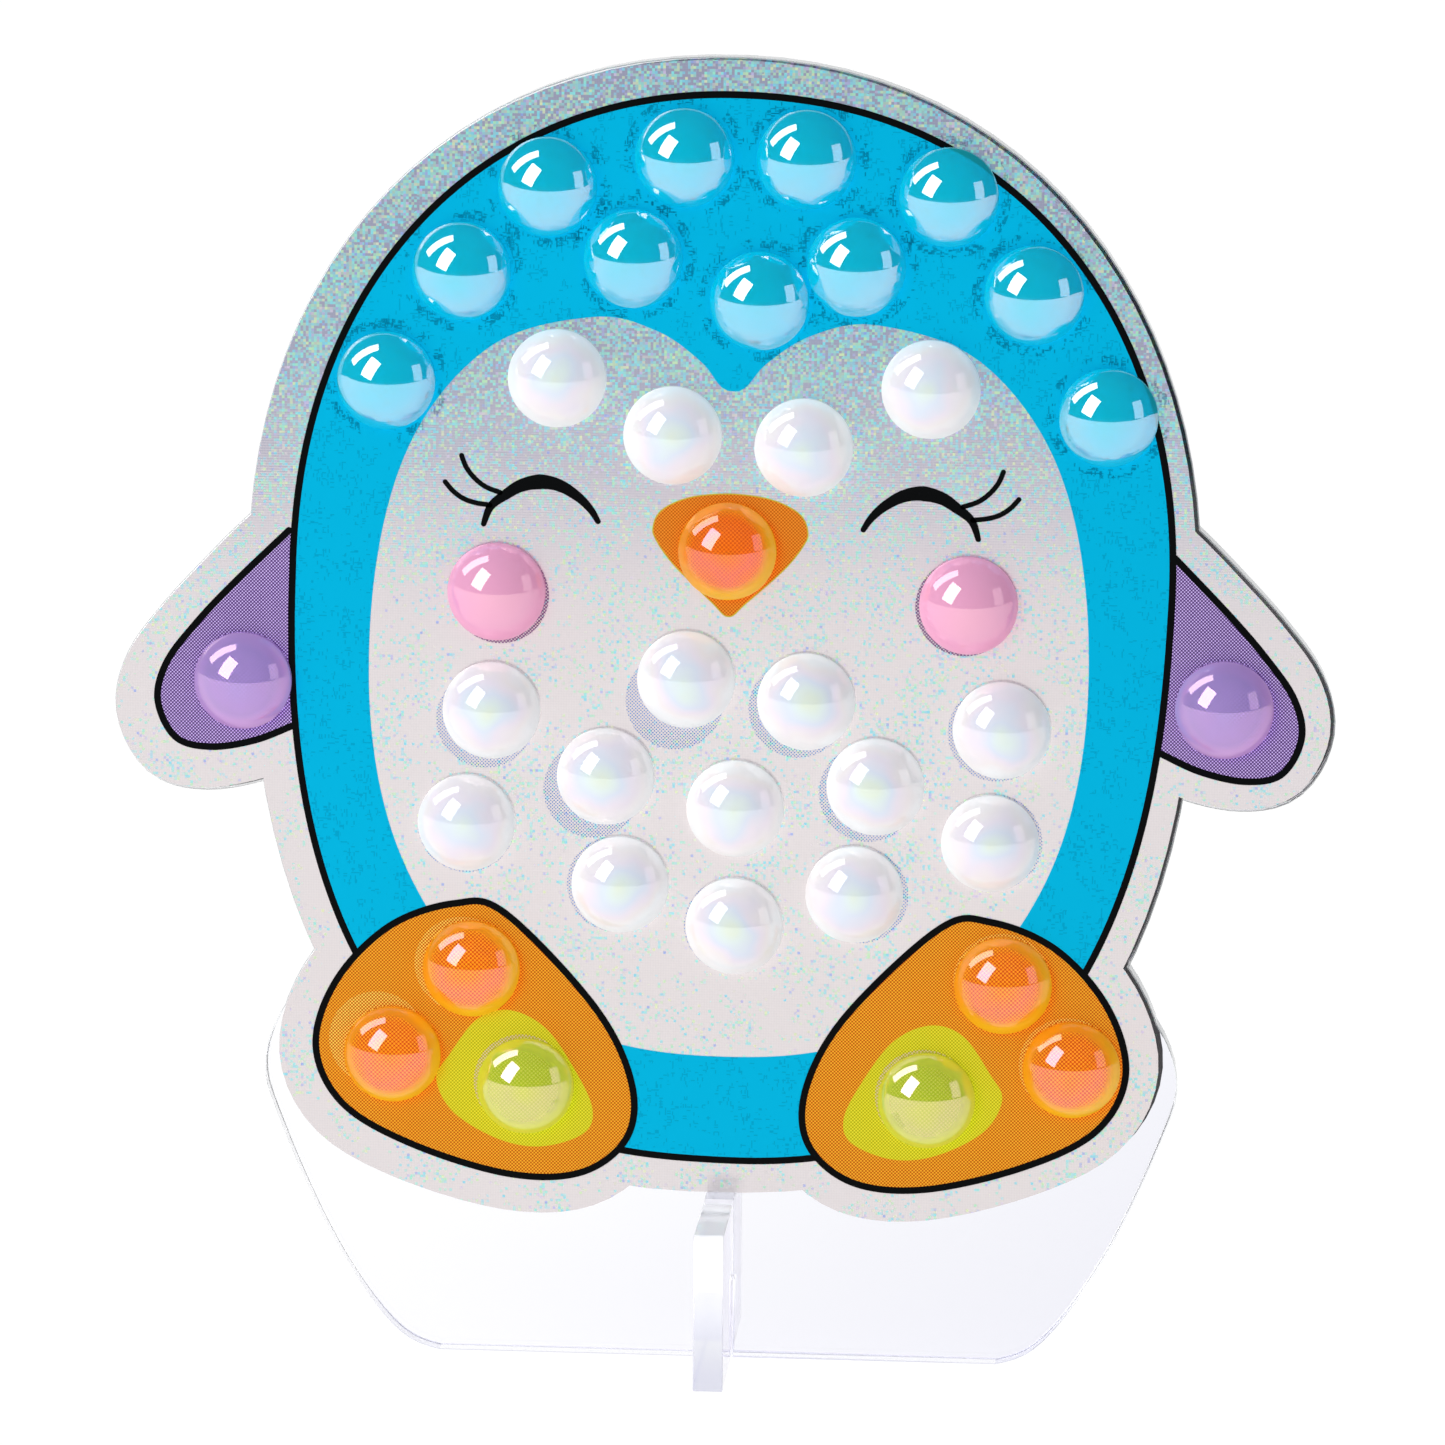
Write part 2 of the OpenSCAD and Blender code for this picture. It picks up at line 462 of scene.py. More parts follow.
class Nodes:
    """A node tree, and the nodes that patterns are made of."""

    def __init__(self, tree):
        self.tree = tree

    def node(self, kind, options=None, inputs=None):
        """A node of that type. Its options are set first, then its sockets are given a
        value or linked."""
        node = self.tree.nodes.new(kind)
        for key, value in (options or {}).items():
            setattr(node, key, value)
        for key, value in (inputs or {}).items():
            self.feed(node.inputs[key], value)
        return node

    def feed(self, socket, value):
        """Links a socket to a value's or another node's, or gives it a plain value."""
        if isinstance(value, Value):
            self.tree.links.new(value.socket, socket)
        elif isinstance(value, bpy.types.NodeSocket):
            self.tree.links.new(value, socket)
        elif hasattr(value, "__len__") and len(value) == 3 and socket.type == "RGBA":
            socket.default_value = (*value, 1)
        else:
            socket.default_value = value

    def place(self):
        """The point being shaded, in the piece's own metres."""
        return self.node("ShaderNodeTexCoord").outputs["Object"]

    def axes(self, vector):
        """A vector's three numbers."""
        split = self.node("ShaderNodeSeparateXYZ", inputs={0: vector})
        return [Value(self, socket) for socket in split.outputs]

    def vector(self, x, y, z):
        """A vector from its three numbers."""
        return self.node("ShaderNodeCombineXYZ", inputs={0: x, 1: y, 2: z}).outputs[0]

    def noise(self, vector, size, detail=2.0, rough=0.5):
        """Smooth noise from 0 to 1 with features of about that size in millimetres."""
        node = self.node("ShaderNodeTexNoise", inputs={
            "Vector": vector, "Scale": 1 / (size * MM), "Detail": detail, "Roughness": rough})
        return Value(self, node.outputs[0])

    def blend(self, factor, first, second, mode="MIX"):
        """Two colours, mixed by the factor."""
        node = self.node("ShaderNodeMix", {"data_type": "RGBA", "blend_type": mode},
                         {0: factor, 6: first, 7: second})
        return node.outputs[2]

    def ramp(self, factor, stops):
        """A colour for each value of the factor, from (place, colour) stops."""
        node = self.node("ShaderNodeValToRGB", inputs={0: factor})
        elements = node.color_ramp.elements
        while len(elements) < len(stops):
            elements.new(0.5)
        for element, (at, colour) in zip(elements, stops):
            element.position = at
            element.color = (*colour, 1)
        return node.outputs[0]

    def bump(self, height, depth):
        """A normal from a height from 0 to 1 and a depth in millimetres."""
        node = self.node("ShaderNodeBump", inputs={
            "Height": height, "Distance": depth * MM, "Strength": 1.0})
        return node.outputs[0]


class Material(Nodes):
    """A node material around one Principled shader."""

    def __init__(self, name):
        self.data = bpy.data.materials.new(name)
        self.data.use_nodes = True
        super().__init__(self.data.node_tree)
        self.tree.nodes.clear()
        self.output = self.node("ShaderNodeOutputMaterial")
        self.shader = self.node("ShaderNodeBsdfPrincipled")
        self.top = self.shader.outputs[0]
        self.tree.links.new(self.top, self.output.inputs[0])

    def set(self, **inputs):
        """Sets or links the Principled shader's sockets, named with underscores."""
        for key, value in inputs.items():
            self.feed(self.shader.inputs[key.replace("_", " ")], value)
        return self

    def cover(self, factor, kind, inputs):
        """Mixes another shader over what there is so far."""
        other = self.node(kind, inputs=inputs)
        mix = self.node("ShaderNodeMixShader", inputs={
            0: factor, 1: self.top, 2: other.outputs[0]})
        self.top = mix.outputs[0]
        self.tree.links.new(self.top, self.output.inputs[0])

    def lets_lamps_through(self, tint):
        """Light from the lamps passes straight through the clear piece, tinted."""
        path = self.node("ShaderNodeLightPath")
        self.cover(path.outputs["Is Shadow Ray"], "ShaderNodeBsdfTransparent", {0: tint})
        return self


WEAVE_PITCH = 0.26 * MM  # spacing of the film's fine square grid
ROOM_REFLECTION_HEIGHTS = (72 * MM, 106 * MM)  # where the painted reflection of the dim room starts to turn the film lilac, and where it has
# Hues of the painted glints in the film's glitter cells.
GLITTER_HUES = [
    (0.0, linear(126, 212, 234)), (0.25, linear(144, 228, 232)), (0.48, linear(154, 231, 211)),
    (0.66, linear(184, 232, 186)), (0.8, linear(226, 234, 180)), (0.9, linear(212, 194, 228)),
    (1.0, linear(144, 168, 230)),
]


def random_cells(material, width, height):
    """Three random numbers for each cell of a grid in the board's plane."""
    x, _, z = material.axes(material.place())
    cell = material.node("ShaderNodeVectorMath", {"operation": "FLOOR"},
                         {0: material.vector(x / width, 0.0, z / height)}).outputs[0]
    random = material.node("ShaderNodeTexWhiteNoise", {"noise_dimensions": "3D"}, {0: cell})
    return material.axes(random.outputs[1])


def glitter(material, share, even):
    """How brightly the film's square glitter cells shine, and in what hue: each cell has a
    random number, and shines where that is above a level that falls in loose patches, the less
    so the more even it is. The cells are the film's own pattern; their brightness and hues are
    painted glints."""
    pitch = settings()[0].glitter_pitch
    chance, hue, strength = random_cells(material, pitch, pitch)
    patches = material.noise(material.place(), 4.0, 3.0, 0.6).smooth(0.36, 0.64)
    level = share * (even + (1 - even) * patches)
    lit = (chance > 1 - level) * (0.45 + 0.55 * strength)
    return lit, material.ramp(hue, GLITTER_HUES)


def dashes(material, share):
    """Short dark dashes along the film's grid, upright and level, in loose patches."""
    patches = material.noise(material.place(), 2.2, 2.0, 0.6).smooth(0.4, 0.6)
    level = 1 - share * patches
    upright = random_cells(material, 0.12 * MM, 0.4 * MM)[0] > level
    across = random_cells(material, 0.4 * MM, 0.12 * MM)[1] > level
    return upright + across - upright * across


def weave(material):
    """The film's fine square grid, from 0 in its grooves to 1 between them."""
    x, _, z = material.axes(material.place())
    turns = 2 * math.pi / WEAVE_PITCH
    return 0.5 + 0.25 * ((x * turns).sine() + (z * turns).sine())


def dots(material, share):
    """Round halftone dots on a diagonal grid, 1 inside a dot. The higher the share, which
    runs from -1 to 1, the smaller the dots."""
    x, _, z = material.axes(material.place())
    turns = 2 * math.pi / (settings()[0].dot_pitch * math.sqrt(2))
    wave = 0.5 * (((x + z) * turns).sine() + ((x - z) * turns).sine())
    return wave.smooth(share - 0.2, share + 0.2)


def film_material(name, colour, shine):
    """Holographic film: a silver mirror mixed into a pale woven ground that a painted reflection
    of the dim room turns lilac higher up, with dull bright cells, which are thick on the ground
    there and are painted glints."""
    material = Material(name)
    grid = weave(material)
    z = material.axes(material.place())[2]
    # Painted reflection: higher up the ground turns darker and lilac and the glitter thickens,
    # standing in for the dim room beyond the table seen in the film.
    high = z.smooth(*ROOM_REFLECTION_HEIGHTS)
    lit, hue = glitter(material, 0.34 + 0.5 * high, 0.7 * high)
    ground = material.blend(high, linear(225, 217, 220), linear(197, 193, 220))
    ground = material.blend(0.14 * grid, ground, linear(140, 136, 152))
    material.set(
        Base_Color=material.blend(lit, ground, hue), Roughness=0.6, Specular_IOR_Level=0.1)
    material.cover(shine * (1 - 0.7 * lit), "ShaderNodeBsdfPrincipled", {
        "Base Color": colour, "Metallic": 1.0, "Roughness": 0.12,
        "Normal": material.bump(grid, 0.002)})
    return material.data


INK_GLOSS = {"Roughness": 0.4, "Specular_IOR_Level": 0.03}


def ink_material(name, colour, dot_colour=None, dot_share=0.0, grooves=0.0):
    """Printed ink on the film: halftone dots and the film's dark grooves show in it."""
    material = Material(name)
    if dot_colour:
        colour = material.blend(dots(material, dot_share), colour, dot_colour)
    if grooves:
        colour = material.blend(0.3 * dashes(material, grooves), colour, linear(0, 100, 140))
    return material.set(Base_Color=colour, **INK_GLOSS).data


def sheet_materials():
    """Polished clear acrylic, with painted shade that makes it faintly lavender towards its
    lower right, and its cut edges, which gather light, are a little milky and have painted
    shade, darker and lavender near the table."""
    face = Material("clear_acrylic")
    x, _, z = face.axes(face.place())
    # Painted shade: the clear face turns faintly lavender towards its lower right.
    right = (x - 1.2 * z).smooth(-0.07, 0.05)
    tint = face.blend(right, linear(253, 253, 255), linear(238, 238, 246))
    face.set(Base_Color=tint, Roughness=0.0, IOR=1.49, Transmission_Weight=1.0)
    face.lets_lamps_through((0.97, 0.97, 0.98))
    foot = Material("clear_acrylic_foot")
    foot.set(Base_Color=linear(236, 233, 245), Roughness=0.02, IOR=1.49,
             Transmission_Weight=0.7)
    foot.lets_lamps_through((0.95, 0.95, 0.97))
    edge = Material("cut_acrylic_edge")
    _, _, z = edge.axes(edge.place())
    # Painted shade: the cut edges are darker and lavender in their lowest millimetres, next to
    # the table.
    low = edge.blend(z.smooth(0.001, 0.009), linear(214, 214, 230), linear(255, 255, 255))
    edge.set(Base_Color=low, Roughness=0.06, IOR=1.49, Transmission_Weight=0.6)
    edge.lets_lamps_through((0.9, 0.9, 0.92))
    return face.data, foot.data, edge.data


# ---------------------------------------------------------------- clear sheet


def sheet_outline(node):
    """The flat outline of a CAD sheet's front face, in millimetres, and the axis that the
    sheet is thin along: the edges that only one of its front triangles has, walked end to
    end."""
    mesh = frame["nodes"][node].data
    points = np.empty(len(mesh.vertices) * 3)
    mesh.vertices.foreach_get("co", points)
    points = points.reshape(-1, 3) / MM
    thin = int(np.argmin(np.ptp(points, axis=0)))
    face_at = points[:, thin].min()
    keys = [tuple(k) for k in np.round(points, 4).tolist()]
    edges = set()
    for polygon in mesh.polygons:
        corners = [keys[v] for v in polygon.vertices]
        if all(abs(c[thin] - face_at) < 1e-3 for c in corners):
            edges.update(zip(corners, corners[1:] + corners[:1]))
    border = {a: b for a, b in edges if (b, a) not in edges}
    start = min(border)
    walk, at = [start], border[start]
    while at != start:
        walk.append(at)
        at = border[at]
    return np.delete(np.array(walk), thin, axis=1), thin


EDGE_ROUND = 0.12  # radius of the round along the sheets' cut edges


def rounded_sheet(flat, half):
    """A sheet with small rounded edges, as rings from its back to its front: the outline
    carried through a profile that steps in by a quarter circle at each face."""
    angle = np.linspace(0, math.pi / 2, 4)
    sine, cosine = EDGE_ROUND * (1 - np.sin(angle)), EDGE_ROUND * (1 - np.cos(angle))
    inset = np.concatenate([sine, cosine])
    depth = np.concatenate([-half + cosine, half - sine])
    corner = normals(flat)
    before = flat - np.roll(flat, 1, axis=0)
    before = before / np.linalg.norm(before, axis=1, keepdims=True)
    side = np.stack([before[:, 1], -before[:, 0]], axis=1)
    miter = corner / np.maximum(np.sum(corner * side, axis=1, keepdims=True), 0.5)
    return [(flat - inward * miter, y) for inward, y in zip(inset, depth)]


def acrylic_piece(node, name, materials, body):
    """A CAD sheet remade with rounded edges, and with its edges' own material."""
    flat, thin = sheet_outline(node)
    low, high = box_mm(node)
    half = (high - low)[thin] / 2
    middle = (high + low)[thin] / 2
    area = np.sum(flat[:, 0] * np.roll(flat[:, 1], -1) - flat[:, 1] * np.roll(flat[:, 0], -1))
    flat = flat if area > 0 else flat[::-1]
    rings = rounded_sheet(flat, half)
    count = len(flat)
    points = np.vstack([np.insert(ring, thin, middle + y, axis=1) for ring, y in rings])
    faces = grid_faces(len(rings), count, False, True)
    faces.append(list(range(count))[::-1])
    faces.append(list(range(len(points) - count, len(points))))
    if thin != 0:
        faces = [face[::-1] for face in faces]
    piece = add_piece(name, points, faces, materials[0], (node,), body=body)
    piece.data.materials.append(materials[1])
    cut = np.ones(len(faces), dtype=np.int32)
    cut[-2:] = 0
    piece.data.polygons.foreach_set("material_index", cut)
    return piece


class STAND_OT_clear_sheet(bpy.types.Operator):
    """The clear board and the cross foot it stands in."""

    bl_idname = "stand.clear_sheet"
    bl_label = "Clear Board and Foot"

    def execute(self, context):
        face, foot, edge = sheet_materials()
        acrylic_piece("clear_board", "board_acrylic", (face, edge), BOARD)
        acrylic_piece("cross_foot", "foot_acrylic", (foot, edge), "foot")
        return {"FINISHED"}


class STAND_OT_films(bpy.types.Operator):
    """The silver films on the two sides of the board."""

    bl_idname = "stand.films"
    bl_label = "Films"

    def execute(self, context):
        colours = settings()[1]
        front = film_material("glitter_film_front", tuple(colours.film), 0.44)
        back = film_material("glitter_film_back", linear(190, 190, 200), 0.6)
        for node, material in (("front_sticker", front), ("back_sticker", back)):
            slots = frame["nodes"][node].data.materials
            slots.clear()
            slots.append(material)
        return {"FINISHED"}


# ---------------------------------------------------------------- inks

INK_BACK = 0.01  # how deep the backs of the inks and gems lie in the film
# How far each ink stands out of the film, so that each lies on those printed before it.
INK_HEIGHTS = {
    "belly_spots": 0.012, "cheek_spots": 0.012, "wing_ink": 0.020, "beak_rim": 0.020,
    "body_ink": 0.025, "beak_ink": 0.026, "gem_dash_rings": 0.028, "wing_line": 0.030,
    "eye_right": 0.030, "eye_left": 0.030, "body_line": 0.034, "foot_ink": 0.040,
    "foot_spots": 0.043, "toe_ink": 0.046, "toe_spots": 0.049, "foot_line": 0.052,
}


def ink(name, parts, material):
    """An ink on the front film, as a piece of its own. Each part is a function that makes
    a flat shape, and what it takes besides the two depths."""
    back, front = FILM_FACE + INK_BACK, FILM_FACE - INK_HEIGHTS[name]
    made = [make(*outlines, back, front) for make, *outlines in parts]
    points, faces = joined(made)
    return add_piece(name, points, faces, material)


def both_sides(points):
    """A right-hand outline and its mirror image, where they are printed."""
    return [printed(closed_curve(points)), printed(closed_curve(flipped(points)))]


class STAND_OT_inks(bpy.types.Operator):
    """The coloured inks of the picture."""

    bl_idname = "stand.inks"
    bl_label = "Coloured Inks"

    def execute(self, context):
        colours = settings()[1]
        body = ink_material("blue_ink", colours.body, grooves=0.1)
        wing = ink_material("purple_ink", colours.wing, linear(215, 190, 246), dot_share=0.2)
        foot = ink_material("orange_ink", colours.foot, linear(244, 176, 49))
        toe = ink_material("green_ink", colours.toe, linear(231, 220, 56))
        beak = ink_material("beak_ink", colours.beak, linear(235, 147, 49))
        rim = ink_material("beak_rim_ink", linear(196, 181, 57))

        outer = printed(resampled(body_outline(), RING_POINTS))
        face = closed_curve(FACE + [NOTCH] + [(-x, z) for x, z in FACE[:0:-1]])
        inner = printed(resampled(face, RING_POINTS))
        ink("wing_ink", [(plate, outline) for outline in both_sides(WING)], wing)
        ink("body_ink", [(band, outer, inner)], body)
        ink("foot_ink", [(plate, outline) for outline in both_sides(FOOT)], foot)
        ink("toe_ink", [(plate, outline) for outline in both_sides(TOE)], toe)
        beak_outline = closed_curve(BEAK + [(-x, z) for x, z in BEAK[-2:0:-1]])
        ink("beak_rim", [(plate, printed(grown(beak_outline, 0.12)))], rim)
        ink("beak_ink", [(plate, printed(beak_outline))], beak)
        return {"FINISHED"}


class STAND_OT_lines(bpy.types.Operator):
    """The black lines, the closed eyes and their lashes."""

    bl_idname = "stand.lines"
    bl_label = "Black Lines"

    def execute(self, context):
        prints, colours, _ = settings()
        black = ink_material("black_ink", colours.line)
        half = prints.line / MM / 2

        def ring(outline):
            return (band, grown(outline, half), grown(outline, -half))

        body = printed(resampled(body_outline(), RING_POINTS))
        ink("body_line", [ring(body)], black)
        wings = [printed(open_curve(points[1:-1])) for points in (WING, flipped(WING))]
        ink("wing_line", [(stroke, path, (2 * half,)) for path in wings], black)
        ink("foot_line", [ring(outline) for outline in both_sides(FOOT)], black)
        for name, sides in (("eye_right", lambda p: p), ("eye_left", flipped)):
            eye = printed(open_curve(sides(EYE)))
            lashes = [printed(open_curve(sides(lash))) for lash in (UPPER_LASH, LOWER_LASH)]
            strokes = [(stroke, eye, EYE_WIDTHS)]
            strokes += [(stroke, lash, (LASH_WIDTH,)) for lash in lashes]
            ink(name, strokes, black)
        return {"FINISHED"}


# ---------------------------------------------------------------- marks

# The middles of the printed spots that show beside gems stuck on off their middles.
BELLY_SPOTS = [
    (-4.7, 67.7), (7.6, 67.1), (-23.7, 65.4), (27.5, 65.1), (-12.9, 58.5), (14.7, 58.7),
    (-25.6, 54.7), (27.3, 54), (-10.5, 48.9), (1.3, 44.9), (14, 48.3),
]
CHEEK_SPOTS = [(-22.2, 78.1), (24.1, 77.7)]
FOOT_SPOTS = [(-34.6, 32.4), (-25.9, 40.3), (28.4, 39.8), (35.1, 31.3)]
TOE_SPOTS = [(-19.9, 28.3), (20.7, 27.7)]
SPOT_RADIUS = 4.9
DASH_RING_RADII = (6.1, 5.2)  # outer and inner, of the ring of dark dashes round a blue gem


class STAND_OT_marks(bpy.types.Operator):
    """The printed spots under the gems, and the rings of dark dashes round the blue ones."""

    bl_idname = "stand.marks"
    bl_label = "Placement Marks"

    def execute(self, context):
        circle = unit_circle(64)
        groups = [
            # name, middles, colour, how small the dots are
            ("belly_spots", BELLY_SPOTS, linear(70, 116, 186), 0.4),
            ("cheek_spots", CHEEK_SPOTS, linear(110, 70, 120), -0.1),
            ("foot_spots", FOOT_SPOTS, linear(255, 218, 96), 0.1),
            ("toe_spots", TOE_SPOTS, linear(226, 200, 170), 0.1),
        ]
        for name, spots, colour, share in groups:
            material = Material(f"{name}_ink")
            material.set(Base_Color=colour, Alpha=dots(material, share), **INK_GLOSS)
            ink(name, [(plate, SPOT_RADIUS * circle + spot) for spot in spots], material.data)
        # A ring of faint dark dashes round each blue gem.
        dash_ink = Material("gem_dash_ink")
        dash_ink.set(Base_Color=linear(0, 84, 116), Alpha=0.3 * dashes(dash_ink, 0.34), **INK_GLOSS)
        outer, inner = DASH_RING_RADII
        middles = [middle_of(node) for node in GEM_NODES if SLOT_OF[node] == "blue_gem"]
        rings = [(band, at + outer * circle, at + inner * circle) for at in middles]
        ink("gem_dash_rings", rings, dash_ink.data)
        return {"FINISHED"}


# ---------------------------------------------------------------- gems


GEM_WALL = 0.6  # height of the upright wall below the cap
GEM_ROUND = 0.25  # radius of the round between the wall and the cap
GEM_SIDES = 72


def dome(centre, base, front, radius):
    """A domed gem, a profile turned about its own axis: a flat back set into the film, a
    wall up from the base, a small round over it and a cap of a sphere."""
    cap = base - front - GEM_WALL
    sphere = (radius**2 + cap**2) / (2 * cap)
    middle = radius - GEM_ROUND
    # The little round meets the sphere where both lean the same way.
    lean = math.asin(middle / (sphere - GEM_ROUND))
    corner = np.linspace(math.pi / 2, lean, 6)
    tilt = np.linspace(lean, 0, 26)[:-1]
    drop = (sphere - GEM_ROUND) * (1 - math.cos(lean))
    reach = np.concatenate([[radius, radius], middle + GEM_ROUND * np.sin(corner),
                            sphere * np.sin(tilt)[1:]])
    y = np.concatenate([[FILM_FACE + INK_BACK, base],
                        front + drop + GEM_ROUND * (1 - np.cos(corner)),
                        front + sphere * (1 - np.cos(tilt[1:]))])
    flat = centre + reach[:, None, None] * unit_circle(GEM_SIDES)
    y = np.repeat(y[:, None], GEM_SIDES, axis=1)
    points = np.stack([flat[..., 0], y, flat[..., 1]], axis=-1).reshape(-1, 3)
    count = len(points)
    points = np.vstack([points, [[centre[0], front, centre[1]]]])
    faces = grid_faces(len(reach), GEM_SIDES, False, True)
    last = count - GEM_SIDES
    faces += [[last + (i + 1) % GEM_SIDES, count, last + i] for i in range(GEM_SIDES)]
    faces.append(list(range(GEM_SIDES))[::-1])
    return points, faces


class GemLook(NamedTuple):
    """How the gems of one colour look."""

    colour: tuple  # of the resin
    rim: tuple  # of the painted light that gathers at the rim
    painted_rim_light: float  # how much of that painted light there is
    clarity: float  # how much of what is under the gem shows
    mirror: float  # how much the coating mirrors
    hues: list  # of the coating, from the middle out
    tint: float = 0.0  # how much those hues tint the resin


GEM_LOOKS = {
    "blue_gem": GemLook(
        colour=linear(0, 250, 255), rim=linear(0, 190, 240),
        painted_rim_light=0.25, clarity=0.55, mirror=0.34,
        hues=[linear(200, 238, 248), linear(225, 232, 255), linear(255, 225, 238)]),
    "clear_gem": GemLook(
        colour=linear(255, 255, 255), rim=linear(255, 255, 255),
        painted_rim_light=0.4, clarity=0.12, mirror=0.08, tint=0.5,
        hues=[linear(226, 244, 206), linear(220, 242, 234), linear(214, 226, 250),
              linear(246, 226, 244), linear(255, 238, 236), linear(255, 255, 255)]),
    "pink_gem": GemLook(
        colour=linear(255, 178, 214), rim=linear(255, 166, 206),
        painted_rim_light=0.4, clarity=0.1, mirror=0.12,
        hues=[linear(255, 236, 190), linear(255, 220, 205), linear(255, 200, 230)]),
    "orange_gem": GemLook(
        colour=linear(255, 178, 40), rim=linear(255, 206, 30),
        painted_rim_light=0.75, clarity=0.8, mirror=0.12,
        hues=[linear(255, 200, 130), linear(255, 168, 232), linear(255, 216, 110)]),
    "purple_gem": GemLook(
        colour=linear(218, 192, 248), rim=linear(226, 160, 226),
        painted_rim_light=0.4, clarity=0.6, mirror=0.15,
        hues=[linear(225, 205, 255), linear(255, 190, 235), linear(255, 210, 220)]),
    "green_gem": GemLook(
        colour=linear(226, 255, 74), rim=linear(232, 240, 80),
        painted_rim_light=0.6, clarity=0.65, mirror=0.24,
        hues=[linear(255, 205, 190), linear(255, 186, 228), linear(255, 205, 205)]),
}


def gem_material(slot):
    """Coloured resin under a half-mirror coating, whose hues change from the gem's middle
    outwards, with a painted caustic: a brighter rim at the lower right."""
    look = GEM_LOOKS[slot]
    material = Material(slot)
    flat = material.node("ShaderNodeUVMap", {"uv_map": "across"}).outputs[0]
    offset = material.node("ShaderNodeVectorMath", {"operation": "SUBTRACT"},
                           {0: flat, 1: (0.5, 0.52, 0.0)}).outputs[0]
    length = material.node("ShaderNodeVectorMath", {"operation": "LENGTH"}, {0: offset})
    out = 2 * Value(material, length.outputs["Value"])
    stops = [(i / (len(look.hues) - 1), hue) for i, hue in enumerate(look.hues)]
    sheen = material.ramp(out + 0.9 * (material.noise(material.place(), 4.0, 1.0) - 0.5), stops)
    base = look.colour
    if look.tint:
        base = material.blend(look.tint, base, sheen, "MULTIPLY")
    material.set(Base_Color=base, Roughness=0.02, IOR=1.5, Transmission_Weight=look.clarity)
    material.cover(look.mirror, "ShaderNodeBsdfPrincipled", {
        "Base Color": sheen, "Metallic": 1.0, "Roughness": 0.02})
    # Painted caustic: light gathered at the rim, brighter towards the lower right.
    right, up, _ = material.axes(offset)
    away = (right - up).smooth(-0.5, 0.6)
    material.cover(look.painted_rim_light * out.smooth(0.66, 0.92) * (0.3 + 0.7 * away),
                   "ShaderNodeBsdfPrincipled", {"Base Color": look.rim, "Roughness": 0.2})
    pale = tuple(0.4 + 0.6 * channel for channel in look.colour)
    return material.lets_lamps_through(pale).data


class STAND_OT_gems(bpy.types.Operator):
    """The domed gems, each in place of its CAD solid."""

    bl_idname = "stand.gems"
    bl_label = "Gems"

    def execute(self, context):
        looks = {slot: gem_material(slot) for slot in GEM_LOOKS}
        for node in GEM_NODES:
            low, high = box_mm(node)
            centre = middle_of(node)
            radius = (high - low)[0] / 2
            points, faces = dome(centre, high[1], low[1], radius)
            piece = add_piece(f"{node}_dome", points, faces, looks[SLOT_OF[node]],
                              (node,), smooth=True)
            corners = np.empty(len(piece.data.loops), dtype=np.int32)
            piece.data.loops.foreach_get("vertex_index", corners)
            flat = (points[corners][:, [0, 2]] - centre) / (2 * radius) + 0.5
            across = piece.data.uv_layers.new(name="across")
            across.data.foreach_set("uv", flat.astype(np.float32).ravel())
        return {"FINISHED"}


GLUE_RADII = (4.5, 4.42)  # outer and inner
GLUE_GAP = 0.08  # how far it stays in front of the film, clear of the inks


class STAND_OT_glue(bpy.types.Operator):
    """The glue under the gems, a thin ring under the edge of each."""

    bl_idname = "stand.glue"
    bl_label = "Glue"

    def execute(self, context):
        material = Material("clear_glue").set(
            Base_Color=linear(250, 250, 248), Roughness=0.0, IOR=1.02,
            Transmission_Weight=1.0)
        material.lets_lamps_through((0.97, 0.97, 0.95))
        outer, inner = (radius * unit_circle(48) for radius in GLUE_RADII)
        rings = []
        for node in GEM_NODES:
            at = middle_of(node)
            rings.append(band(at + outer, at + inner, FILM_FACE - GLUE_GAP, box_mm(node)[1][1]))
        points, faces = joined(rings)
        add_piece("glue_rings", points, faces, material.data, ("gem_glue_dots",))
        return {"FINISHED"}


# ---------------------------------------------------------------- stage


FLOOR_REACH = 8.0  # how far the floor reaches each way, in metres
WHITE = (1, 1, 1)
LAMPS = [
    # name, way to it from the board, the way its height runs, width, height, power
    ("window", (-0.543, -0.757, 0.363), (0.523, 0.05, 0.852), 0.42, 0.66, 5.1),
    ("strip", (-0.67, -0.30, 0.68), (0.62, -0.18, 0.50), 0.24, 0.90, 2.7),
    ("panel", (0.86, -0.46, 0.22), (0.0, 0.0, 1.0), 0.34, 0.5, 0.5),
    ("fill", (0.35, -0.6, 0.72), (0.0, 0.77, 0.64), 1.2, 1.2, 2.05),
]
UNREFLECTED = "fill"


def add_floor(stage):
    """A floor that is white to look at, and in reflections is a white table that ends in
    front of the board, in a dim room."""
    corners = [(x * FLOOR_REACH, y * FLOOR_REACH, 0)
               for x, y in ((-1, -1), (1, -1), (1, 1), (-1, 1))]
    mesh = bpy.data.meshes.new("floor")
    mesh.from_pydata(corners, [], [(0, 1, 2, 3)])
    material = Material("white_floor")
    y = material.axes(material.place())[1]
    seen = material.node("ShaderNodeLightPath").outputs["Is Camera Ray"]
    table = y.smooth(-stage.table - 0.02, -stage.table + 0.02)
    lit = material.blend(table, stage.room, WHITE)
    material.set(
        Base_Color=(0.05, 0.05, 0.05), Roughness=0.9, Specular_IOR_Level=0.0,
        Emission_Color=material.blend(seen, lit, WHITE), Emission_Strength=1.0)
    mesh.materials.append(material.data)
    floor = bpy.data.objects.new("floor", mesh)
    bpy.context.scene.collection.objects.link(floor)


